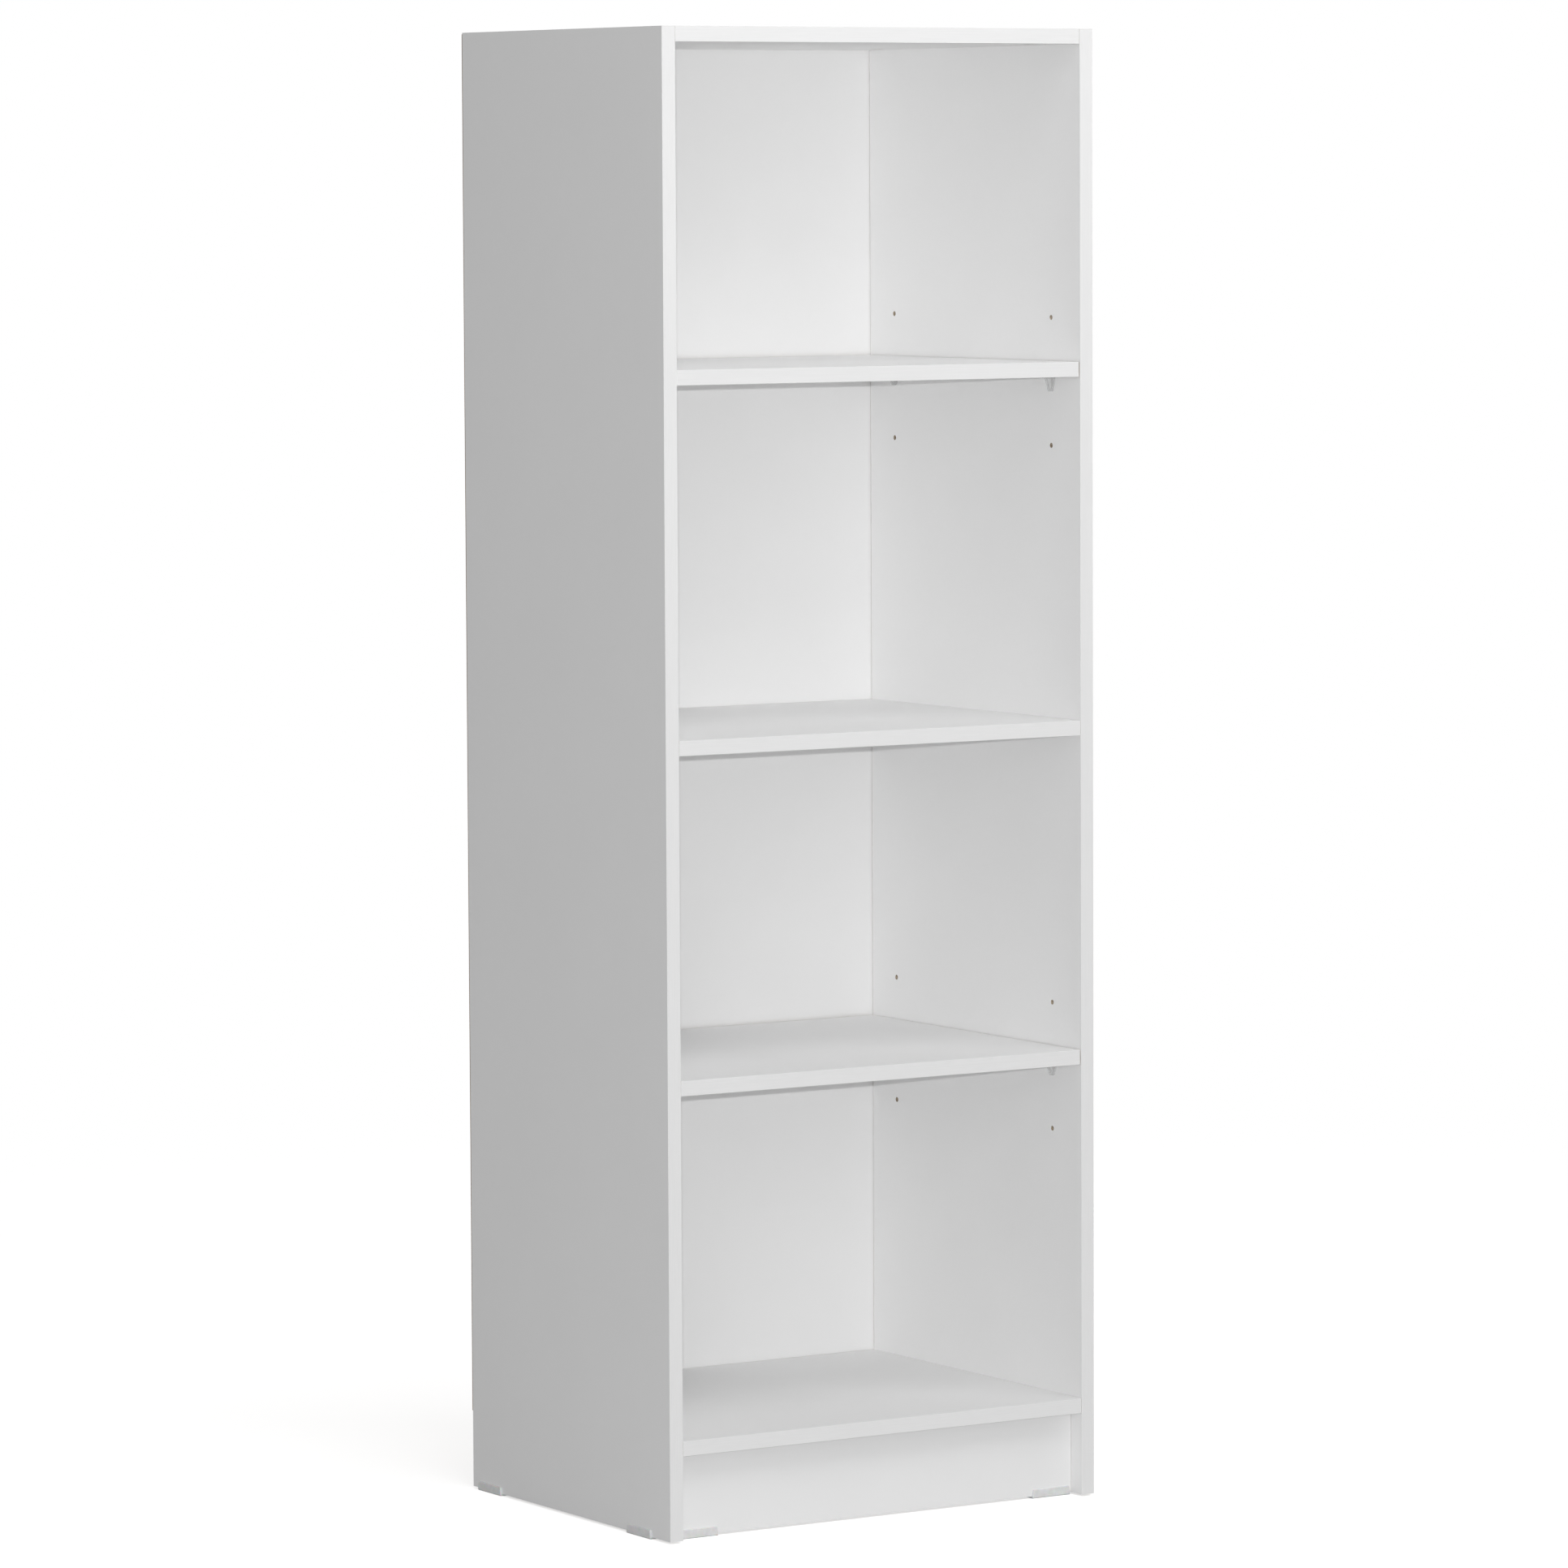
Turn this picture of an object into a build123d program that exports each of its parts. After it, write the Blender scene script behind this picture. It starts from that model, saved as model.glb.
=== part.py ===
from build123d import *
import os

# ---------------------------------------------------------------------------
# Flat-pack bookcase: a particleboard case with a fixed top, middle shelf,
# bottom and plinth, two loose shelves on plug-in supports, a hardboard back
# nailed on the rear edges, and slip-on glides under the bottom edges.
# Frame: +Z up, front faces -Y, origin at the centre of the footprint on the
# floor. Millimetres.
# ---------------------------------------------------------------------------

# Case
CASE_W = 500.0          # over the outer faces of the side panels
SIDE_D = 385.0          # depth of a side panel with its edge band
PANEL_H = 1470.0        # height of a side panel with its top edge band
BOARD_T = 15.0          # particleboard thickness
BACK_T = 3.0            # hardboard back
BACK_INSET = 1.5        # back panel edges inside the case outline
BAND_T = 0.5            # edge band thickness
GLIDE_SOLE = 2.0        # how far a glide holds the board off the floor
GLIDE_WALL = 2.2        # glide side walls, outside the board faces
GLIDE_RISE = 7.0        # how far the walls climb the board faces
GLIDE_L = 45.0

# Heights of the upper faces above the bottom edge of the side panels
SHELF_1_TOP = 1140.0    # upper, loose
SHELF_2_TOP = 782.0     # middle, fixed
SHELF_3_TOP = 451.0     # lower, loose
BOTTOM_TOP = 98.0
PLINTH_SETBACK = 19.0
LOOSE_PLAY = 1.4        # a loose shelf is this much shorter than the space for it
LOOSE_LEFT = {"upper": 0.15, "lower": 0.5}  # how much of that play is at its left end
JOINT_GAP = 0.25        # hairline joint between a fixed board's end and the side
BACK_GAP = 0.65         # narrow joint between the rear edges and the back
LOOSE_SETBACK = 0.5     # loose shelf front behind the case front
SHELF_BACK_GAP = 2.0    # loose shelf rear edge to the back panel

# Pin holes: 32 mm system, front column 52 mm behind the front edge
PIN_D = 5.0
PIN_HOLE_DEPTH = 9.0
COLUMN_FRONT = 51.5
COLUMN_SPACING = 288.0
PIN_PITCH = 64.0
PIN_BELOW_SHELF = 5.6   # pin centre below the underside of the loose shelf

# Shelf support
SUP_PIN_D = 4.9
SUP_PIN_L = 8.0
SUP_GAP = 0.1           # ledge to shelf underside
SUP_W = 15.0            # ledge width along the case depth
SUP_OUT = 7.0           # ledge projection from the side panel
SUP_LEDGE_T = 2.0
SUP_PLATE_T = 1.6
SUP_DROP = 15.4         # overall height below the shelf
SUP_RIB_T = 1.5
SUP_RIB_SPACING = 5.0

# Knock-down fittings
CAM_D = 15.0
CAM_DEPTH = 12.3        # cam pocket depth in the 15 mm board
CAM_SET = 24.0          # cam centre from the board end
CAM_BODY_L = 11.8
BOLT_BORE_D = 7.0       # bore in the board end for the bolt shank
BOLT_SHANK_D = 5.6
BOLT_COLLAR_D = 6.6
BOLT_THREAD_D = 5.0
BOLT_THREAD_L = 11.0
DOWEL_D = 8.0
DOWEL_L = 30.0
DOWEL_IN_SIDE = 10.0
CAM_Y = (52.0, 333.0)   # cam bolts behind the case front
DOWEL_Y = (84.0, 301.0)

# Back panel nails
NAIL_D = 1.4
NAIL_L = 20.0
NAIL_HEAD_D = 4.0
NAIL_HEAD_T = 0.8       # heads are driven in flush with the back panel
NAIL_SINK_D = 4.2       # dent the head leaves in the hardboard

# ---------------------------------------------------------------------------
# Derived positions in the part's frame
# ---------------------------------------------------------------------------
TOTAL_D = SIDE_D + BACK_GAP + BACK_T
Y0 = -TOTAL_D / 2                     # case front
Z0 = GLIDE_SOLE                       # bottom edge of the side panels
X_IN = CASE_W / 2 - BOARD_T           # inner face of the right side
INNER_W = 2 * X_IN
Y_REAR = Y0 + SIDE_D                  # rear edges of the boards
Y_BACK = Y_REAR + BACK_GAP            # front face of the back panel
FIXED_W = INNER_W - 2 * JOINT_GAP     # length of a fixed board
Z_TOP = Z0 + PANEL_H
ZS1, ZS2, ZS3, ZB = (Z0 + h for h in (SHELF_1_TOP, SHELF_2_TOP, SHELF_3_TOP, BOTTOM_TOP))
PLINTH_H = BOTTOM_TOP - BOARD_T       # plinth stands under the bottom panel
Y_PLINTH = Y0 + PLINTH_SETBACK
PLINTH_MID = Z0 + PLINTH_H / 2
PIN_Y = (Y0 + COLUMN_FRONT, Y0 + COLUMN_FRONT + COLUMN_SPACING)
PIN_Z = {
    "upper": ZS1 - BOARD_T - PIN_BELOW_SHELF,
    "lower": ZS3 - BOARD_T - PIN_BELOW_SHELF,
}
PIN_ROWS = [z + k * PIN_PITCH for z in PIN_Z.values() for k in (-1, 0, 1)]
FIXED = {"top": Z_TOP, "middle": ZS2, "bottom": ZB}
BOLT_Z = {n: z - BOARD_T / 2 for n, z in FIXED.items()}
PLINTH_CAM_Z = Z0 + 26.0
PLINTH_DOWEL_Z = Z0 + 58.0
Y_PLINTH_MID = Y_PLINTH + BOARD_T / 2

# Nails: a column up each side and a row in the top, middle and bottom boards
NAIL_FIRST = BOLT_Z["bottom"]
NAIL_LAST = Z_TOP - 14.0
SIDE_NAIL_Z = [NAIL_FIRST + i * (NAIL_LAST - NAIL_FIRST) / 9 for i in range(10)]
BOARD_NAIL_X = [-155.0, 0.0, 155.0]

os.makedirs("parts", exist_ok=True)
written = []


def save(part, name):
    part.label = name
    export_step(part, f"parts/{name}.step")
    written.append((name, len(part.solids()), round(part.volume)))


# ---------------------------------------------------------------------------
# Side panels. The band strips cover the front and the top edge, so the board
# itself stops one band short of both.
# ---------------------------------------------------------------------------
def bolt_points():
    """(y, z) of every cam bolt hole in a side panel."""
    pts = [(Y0 + y, z) for z in BOLT_Z.values() for y in CAM_Y]
    return pts + [(Y_PLINTH_MID, PLINTH_CAM_Z)]


def dowel_points():
    """(y, z) of every dowel hole in a side panel."""
    pts = [(Y0 + y, z) for z in BOLT_Z.values() for y in DOWEL_Y]
    return pts + [(Y_PLINTH_MID, PLINTH_DOWEL_Z)]


def side_panel(sign):
    """A side panel. sign is -1 for the left side and +1 for the right."""
    x_in = sign * X_IN
    # plane on the inner face, its normal pointing out of the case
    inner = Plane(origin=(x_in, 0, 0), x_dir=(0, 1, 0), z_dir=(sign, 0, 0))

    def local(y, z):
        p = inner.to_local_coords(Vector(x_in, y, z))
        return (p.X, p.Y)

    with BuildPart() as side:
        with BuildSketch(inner):
            with BuildLine():
                corners = [
                    (Y0 + BAND_T, Z0),
                    (Y_REAR, Z0),
                    (Y_REAR, Z_TOP - BAND_T),
                    (Y0 + BAND_T, Z_TOP - BAND_T),
                ]
                Polyline(*[local(*c) for c in corners], close=True)
            make_face()
        extrude(amount=BOARD_T)
        # pin holes in two columns
        with BuildSketch(inner):
            with Locations(*[local(y, z) for y in PIN_Y for z in PIN_ROWS]):
                Circle(PIN_D / 2)
        extrude(amount=PIN_HOLE_DEPTH, mode=Mode.SUBTRACT)
        # threaded holes for the cam bolts
        with BuildSketch(inner):
            with Locations(*[local(y, z) for y, z in bolt_points()]):
                Circle(BOLT_THREAD_D / 2)
        extrude(amount=BOLT_THREAD_L + 0.5, mode=Mode.SUBTRACT)
        # dowel holes
        with BuildSketch(inner):
            with Locations(*[local(y, z) for y, z in dowel_points()]):
                Circle(DOWEL_D / 2)
        extrude(amount=DOWEL_IN_SIDE + 1.0, mode=Mode.SUBTRACT)
        # nail holes in the rear edge
        with BuildSketch(Plane(origin=(0, Y_REAR, 0), x_dir=(1, 0, 0), z_dir=(0, -1, 0))):
            with Locations(*[(sign * (CASE_W - BOARD_T) / 2, z) for z in SIDE_NAIL_Z]):
                Circle(NAIL_D / 2)
        extrude(amount=NAIL_L - BACK_T, mode=Mode.SUBTRACT)
    return side


left_side = side_panel(-1)
save(left_side.part, "left_side_panel")
right_side = side_panel(1)
save(right_side.part, "right_side_panel")


# ---------------------------------------------------------------------------
# Fixed boards between the sides: cam pockets open on the underside, bolt
# bores and dowel holes in both ends, nail holes in the rear edge.
# ---------------------------------------------------------------------------
def fixed_board(z_top, rear=Y_REAR):
    under = Plane(origin=(0, 0, z_top - BOARD_T), x_dir=(1, 0, 0), z_dir=(0, 0, 1))
    mid = z_top - BOARD_T / 2
    with BuildPart() as board:
        with BuildSketch(under):
            with Locations((0, (Y0 + BAND_T + rear) / 2)):
                Rectangle(FIXED_W, rear - Y0 - BAND_T)
        extrude(amount=BOARD_T)
        # cam pockets
        with BuildSketch(under):
            with Locations(*[(s * (X_IN - CAM_SET), Y0 + y) for s in (-1, 1) for y in CAM_Y]):
                Circle(CAM_D / 2)
        extrude(amount=CAM_DEPTH, mode=Mode.SUBTRACT)
        for s in (-1, 1):
            end = Plane(origin=(s * FIXED_W / 2, 0, mid), x_dir=(0, 1, 0), z_dir=(-s, 0, 0))
            with BuildSketch(end):
                with Locations(*[(Y0 + y, 0) for y in CAM_Y]):
                    Circle(BOLT_BORE_D / 2)
            extrude(amount=CAM_SET - 2, mode=Mode.SUBTRACT)
            with BuildSketch(end):
                with Locations(*[(Y0 + y, 0) for y in DOWEL_Y]):
                    Circle(DOWEL_D / 2)
            extrude(amount=DOWEL_L - DOWEL_IN_SIDE + 1.0, mode=Mode.SUBTRACT)
        with BuildSketch(Plane(origin=(0, rear, mid), x_dir=(1, 0, 0), z_dir=(0, -1, 0))):
            with Locations(*[(x, 0) for x in BOARD_NAIL_X]):
                Circle(NAIL_D / 2)
        extrude(amount=NAIL_L - BACK_T, mode=Mode.SUBTRACT)
    return board


top_panel = fixed_board(Z_TOP)
save(top_panel.part, "top_panel")
middle_shelf = fixed_board(ZS2)
save(middle_shelf.part, "middle_shelf")
bottom_panel = fixed_board(ZB)
save(bottom_panel.part, "bottom_panel")

# ---------------------------------------------------------------------------
# Plinth: stands under the bottom panel, cam pockets open on its rear face
# ---------------------------------------------------------------------------
with BuildPart() as plinth:
    with BuildSketch(Plane.XY.offset(Z0)):
        with Locations((0, Y_PLINTH_MID)):
            Rectangle(FIXED_W, BOARD_T)
    extrude(amount=PLINTH_H - JOINT_GAP)
    with BuildSketch(Plane(origin=(0, Y_PLINTH + BOARD_T, 0), x_dir=(1, 0, 0), z_dir=(0, -1, 0))):
        with Locations(*[(s * (X_IN - CAM_SET), PLINTH_CAM_Z) for s in (-1, 1)]):
            Circle(CAM_D / 2)
    extrude(amount=CAM_DEPTH, mode=Mode.SUBTRACT)
    for s in (-1, 1):
        end = Plane(origin=(s * FIXED_W / 2, Y_PLINTH_MID, 0), x_dir=(0, 1, 0), z_dir=(-s, 0, 0))
        flip = 1 if end.y_dir.Z > 0 else -1
        with BuildSketch(end):
            with Locations((0, flip * PLINTH_CAM_Z)):
                Circle(BOLT_BORE_D / 2)
        extrude(amount=CAM_SET - 2, mode=Mode.SUBTRACT)
        with BuildSketch(end):
            with Locations((0, flip * PLINTH_DOWEL_Z)):
                Circle(DOWEL_D / 2)
        extrude(amount=DOWEL_L - DOWEL_IN_SIDE + 1.0, mode=Mode.SUBTRACT)
save(plinth.part, "plinth_panel")


# ---------------------------------------------------------------------------
# Loose shelves: plain boards, a little shorter than the space between the
# sides, lying on the four supports
# ---------------------------------------------------------------------------
LOOSE_W = INNER_W - LOOSE_PLAY
LOOSE_X = {k: -X_IN + left + LOOSE_W / 2 for k, left in LOOSE_LEFT.items()}
LOOSE_FRONT = Y0 + LOOSE_SETBACK
LOOSE_REAR = Y_REAR - SHELF_BACK_GAP


def loose_shelf(z_top, x_mid):
    with BuildPart() as shelf:
        with BuildSketch(Plane.XY.offset(z_top - BOARD_T)):
            with Locations((x_mid, (LOOSE_FRONT + BAND_T + LOOSE_REAR) / 2)):
                Rectangle(LOOSE_W, LOOSE_REAR - LOOSE_FRONT - BAND_T)
        extrude(amount=BOARD_T)
    return shelf


upper_shelf = loose_shelf(ZS1, LOOSE_X["upper"])
save(upper_shelf.part, "upper_shelf")
lower_shelf = loose_shelf(ZS3, LOOSE_X["lower"])
save(lower_shelf.part, "lower_shelf")


# ---------------------------------------------------------------------------
# Edge bands: thin strips glued on the edges that show, their outer corners
# slightly rounded
# ---------------------------------------------------------------------------
BAND_ROUND = 0.35
BAND_END_EASE = 0.4     # the ends of the level strips are eased this much


def front_band_upright(sign):
    """Strip up the front edge of a side panel."""
    x = sign * (CASE_W - BOARD_T) / 2
    with BuildPart() as band:
        with BuildSketch(Plane.XY.offset(Z0)):
            with Locations((x, Y0 + BAND_T / 2)):
                Rectangle(BOARD_T, BAND_T)
        extrude(amount=PANEL_H - BAND_T)
        front = band.edges().filter_by(Axis.Z).group_by(Axis.Y)[0]
        fillet(front, BAND_ROUND)
    return band


def front_band_level(z_top, width, y_front, x_mid=0.0):
    """Strip along the front edge of a board that lies flat, its ends eased so
    that a fine groove shows beside the side panels."""
    with BuildPart() as band:
        with BuildSketch(Plane.XY.offset(z_top - BOARD_T)):
            with BuildLine():
                a, b, e = x_mid - width / 2, x_mid + width / 2, BAND_END_EASE
                Polyline(
                    (a, y_front + BAND_T),
                    (b, y_front + BAND_T),
                    (b, y_front + e),
                    (b - e, y_front),
                    (a + e, y_front),
                    (a, y_front + e),
                    close=True,
                )
            make_face()
        extrude(amount=BOARD_T)
        front = band.edges().filter_by(Axis.X).group_by(Axis.Y)[0]
        fillet(front, BAND_ROUND)
    return band


def top_band(sign):
    """Strip along the top edge of a side panel, over the end of the front strip."""
    x = sign * (CASE_W - BOARD_T) / 2
    with BuildPart() as band:
        with BuildSketch(Plane.XY.offset(Z_TOP - BAND_T)):
            with Locations((x, (Y0 + Y_REAR) / 2)):
                Rectangle(BOARD_T, SIDE_D)
        extrude(amount=BAND_T)
        outer = (
            band.edges().filter_by(Axis.Y).group_by(Axis.Z)[-1].sort_by(Axis.X)
        )
        fillet(outer[-1] if sign > 0 else outer[0], BAND_ROUND)
    return band


band_left_front = front_band_upright(-1)
save(band_left_front.part, "left_side_front_edge_band")
band_right_front = front_band_upright(1)
save(band_right_front.part, "right_side_front_edge_band")
band_left_top = top_band(-1)
save(band_left_top.part, "left_side_top_edge_band")
band_right_top = top_band(1)
save(band_right_top.part, "right_side_top_edge_band")
band_top = front_band_level(Z_TOP, FIXED_W, Y0)
save(band_top.part, "top_panel_edge_band")
band_middle = front_band_level(ZS2, FIXED_W, Y0)
save(band_middle.part, "middle_shelf_edge_band")
band_bottom = front_band_level(ZB, FIXED_W, Y0)
save(band_bottom.part, "bottom_panel_edge_band")
band_upper = front_band_level(ZS1, LOOSE_W, LOOSE_FRONT, LOOSE_X["upper"])
save(band_upper.part, "upper_shelf_edge_band")
band_lower = front_band_level(ZS3, LOOSE_W, LOOSE_FRONT, LOOSE_X["lower"])
save(band_lower.part, "lower_shelf_edge_band")

# ---------------------------------------------------------------------------
# Back panel: one sheet over the rear edges, with its nail holes
# ---------------------------------------------------------------------------
NAILS = [(s * (CASE_W - BOARD_T) / 2, z) for s in (-1, 1) for z in SIDE_NAIL_Z]
NAILS += [(x, z) for z in BOLT_Z.values() for x in BOARD_NAIL_X]
BACK_BOTTOM = ZB - BOARD_T - 6.0      # lower edge just below the bottom panel

with BuildPart() as back_panel:
    rear_plane = Plane(origin=(0, Y_BACK, 0), x_dir=(1, 0, 0), z_dir=(0, -1, 0))
    with BuildSketch(rear_plane):
        with Locations((0, (BACK_BOTTOM + Z_TOP - BACK_INSET) / 2)):
            Rectangle(CASE_W - 2 * BACK_INSET, Z_TOP - BACK_INSET - BACK_BOTTOM)
    extrude(amount=-BACK_T)
    with BuildSketch(rear_plane):
        with Locations(*NAILS):
            Circle(NAIL_D / 2)
    extrude(amount=-BACK_T, mode=Mode.SUBTRACT)
    # dents for the nail heads in the rear face
    with BuildSketch(rear_plane.offset(-BACK_T)):
        with Locations(*NAILS):
            Circle(NAIL_SINK_D / 2)
    extrude(amount=NAIL_HEAD_T, mode=Mode.SUBTRACT)
save(back_panel.part, "back_panel")

with BuildPart() as nails:
    with BuildSketch(rear_plane.offset(-BACK_T)):
        with Locations(*NAILS):
            Circle(NAIL_HEAD_D / 2)
    extrude(amount=NAIL_HEAD_T)
    with BuildSketch(rear_plane.offset(-BACK_T)):
        with Locations(*NAILS):
            Circle(NAIL_D / 2)
    extrude(amount=NAIL_L)
save(nails.part, "back_panel_nails")

# ---------------------------------------------------------------------------
# Knock-down fittings. A cam lock is a round die-cast body with a slot across
# its underside and a gap in its rim that takes the head of the bolt. A cam
# bolt is a thread in the side panel, a collar at the face, a shank and a
# button head inside the cam.
# ---------------------------------------------------------------------------
CAM_GAP_W = 7.4         # gap across the cam that the bolt head enters
CAM_GAP_H = 7.4
HEAD_D = 6.4
HEAD_L = 2.4
NECK_D = 4.0


def cam_lock(centre, out, toward):
    """A cam lock. centre is the middle of its face at the board's surface,
    out points out of the board and toward points at the side panel."""
    face = Plane(origin=centre, x_dir=toward, z_dir=out)
    with BuildPart() as cam:
        with BuildSketch(face.offset(-0.3)):
            Circle(CAM_D / 2 - 0.1)
        extrude(amount=-CAM_BODY_L)
        # gap that takes the bolt, level with the board's mid plane
        with BuildSketch(face.offset(-BOARD_T / 2 + CAM_GAP_H / 2)):
            with Locations((CAM_D / 4, 0)):
                Rectangle(CAM_D / 2 + 2.0, CAM_GAP_W)
        extrude(amount=-CAM_GAP_H, mode=Mode.SUBTRACT)
        # cross slot for the screwdriver
        with BuildSketch(face.offset(-0.3)):
            Rectangle(8.6, 1.3)
            Rectangle(1.3, 8.6)
        extrude(amount=-1.7, mode=Mode.SUBTRACT)
    return cam.part


def cam_bolt(base, inward):
    """A cam bolt. base is on the side panel's inner face, inward points along
    the bolt into the fixed board."""
    length = CAM_SET - 1.0
    foot = Plane(origin=base, z_dir=inward)
    with BuildPart() as bolt:
        with BuildSketch(foot):
            Circle(BOLT_THREAD_D / 2 - 0.03)
        extrude(amount=-BOLT_THREAD_L)
        chamfer(bolt.faces().sort_by(Axis(base, inward))[0].edges(), 0.8)
        with BuildSketch(foot):
            Circle(BOLT_COLLAR_D / 2)
        extrude(amount=1.6)
        with BuildSketch(foot.offset(1.6)):
            Circle(BOLT_SHANK_D / 2)
        extrude(amount=length - HEAD_L - 4.6)
        with BuildSketch(foot.offset(length - HEAD_L - 3.0)):
            Circle(NECK_D / 2)
        extrude(amount=3.0)
        with BuildSketch(foot.offset(length - HEAD_L)):
            Circle(HEAD_D / 2)
        extrude(amount=HEAD_L)
        chamfer(bolt.faces().sort_by(Axis(base, inward))[-1].edges(), 0.5)
    return bolt.part


cams, bolts, dowels = [], [], []
for s in (-1, 1):
    for name, z in FIXED.items():
        for y in CAM_Y:
            cams.append(
                cam_lock((s * (X_IN - CAM_SET), Y0 + y, z - BOARD_T), (0, 0, -1), (s, 0, 0))
            )
            bolts.append(cam_bolt((s * X_IN, Y0 + y, BOLT_Z[name]), (-s, 0, 0)))
    cams.append(
        cam_lock((s * (X_IN - CAM_SET), Y_PLINTH + BOARD_T, PLINTH_CAM_Z), (0, 1, 0), (s, 0, 0))
    )
    bolts.append(cam_bolt((s * X_IN, Y_PLINTH_MID, PLINTH_CAM_Z), (-s, 0, 0)))

with BuildPart() as cam_locks:
    add(cams)
save(cam_locks.part, "cam_locks")
with BuildPart() as cam_bolts:
    add(bolts)
save(cam_bolts.part, "cam_bolts")


def wooden_dowel(x_in, y, z, s):
    """A dowel with chamfered ends, part in the side panel and part in the board."""
    start = Plane(origin=(x_in + s * DOWEL_IN_SIDE, y, z), z_dir=(-s, 0, 0))
    with BuildPart() as dowel:
        with BuildSketch(start):
            Circle(DOWEL_D / 2 - 0.04)
        extrude(amount=DOWEL_L)
        chamfer(dowel.edges().filter_by(GeomType.CIRCLE), 0.8)
    return dowel.part


for s in (-1, 1):
    for z in BOLT_Z.values():
        for y in DOWEL_Y:
            dowels.append(wooden_dowel(s * X_IN, Y0 + y, z, s))
    dowels.append(wooden_dowel(s * X_IN, Y_PLINTH_MID, PLINTH_DOWEL_Z, s))
with BuildPart() as wooden_dowels:
    add(dowels)
save(wooden_dowels.part, "wooden_dowels")

# ---------------------------------------------------------------------------
# Slip-on glides: a U-shaped plastic channel pushed over the board's bottom
# edge, its walls sloping in at the ends
# ---------------------------------------------------------------------------
GLIDE_SIDE_Y = (Y0 + 34.8, Y0 + 327.0)   # near ends of the side panels' glides
GLIDE_PLINTH_X = (-230.0, 187.0)


def glide(near, run, across, mid):
    """A glide. near is the coordinate where it starts along run, mid is the
    board's mid plane along across."""
    origin = Vector(*run) * near + Vector(*across) * mid
    section = Plane(origin=origin, x_dir=across, z_dir=run)
    up = 1 if section.y_dir.Z > 0 else -1
    half = BOARD_T / 2
    outer = half + GLIDE_WALL
    top = GLIDE_SOLE + GLIDE_RISE
    with BuildPart() as piece:
        with BuildSketch(section):
            with BuildLine():
                Polyline(
                    (-outer + 0.8, up * 0.0),
                    (outer - 0.8, up * 0.0),
                    (outer, up * 0.8),
                    (outer, up * (top - 0.5)),
                    (outer - 0.5, up * top),
                    (half, up * top),
                    (half, up * GLIDE_SOLE),
                    (-half, up * GLIDE_SOLE),
                    (-half, up * top),
                    (-outer + 0.5, up * top),
                    (-outer, up * (top - 0.5)),
                    (-outer, up * 0.8),
                    close=True,
                )
            make_face()
        extrude(amount=GLIDE_L)
        # cut the ends back towards the top of the walls
        side = Plane(origin=origin - Vector(*across) * (outer + 1), x_dir=run, z_dir=across)
        v = 1 if side.y_dir.Z > 0 else -1
        for a, b in ((0.0, 1.2), (GLIDE_L, GLIDE_L - 1.2)):
            away = -1.0 if a == 0.0 else 1.0
            with BuildSketch(side):
                with BuildLine():
                    Polyline(
                        (a, v * GLIDE_SOLE),
                        (b, v * (top + 0.5)),
                        (a + away, v * (top + 0.5)),
                        (a + away, v * GLIDE_SOLE),
                        close=True,
                    )
                make_face()
            extrude(amount=2 * outer + 2, mode=Mode.SUBTRACT)
    return piece


SIDE_MID = (CASE_W - BOARD_T) / 2
glide_fl = glide(GLIDE_SIDE_Y[0], (0, 1, 0), (1, 0, 0), -SIDE_MID)
save(glide_fl.part, "front_left_glide")
glide_rl = glide(GLIDE_SIDE_Y[1], (0, 1, 0), (1, 0, 0), -SIDE_MID)
save(glide_rl.part, "rear_left_glide")
glide_fr = glide(GLIDE_SIDE_Y[0], (0, 1, 0), (1, 0, 0), SIDE_MID)
save(glide_fr.part, "front_right_glide")
glide_rr = glide(GLIDE_SIDE_Y[1], (0, 1, 0), (1, 0, 0), SIDE_MID)
save(glide_rr.part, "rear_right_glide")
glide_pl = glide(GLIDE_PLINTH_X[0], (1, 0, 0), (0, 1, 0), Y_PLINTH_MID)
save(glide_pl.part, "plinth_left_glide")
glide_pr = glide(GLIDE_PLINTH_X[1], (1, 0, 0), (0, 1, 0), Y_PLINTH_MID)
save(glide_pr.part, "plinth_right_glide")


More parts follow.
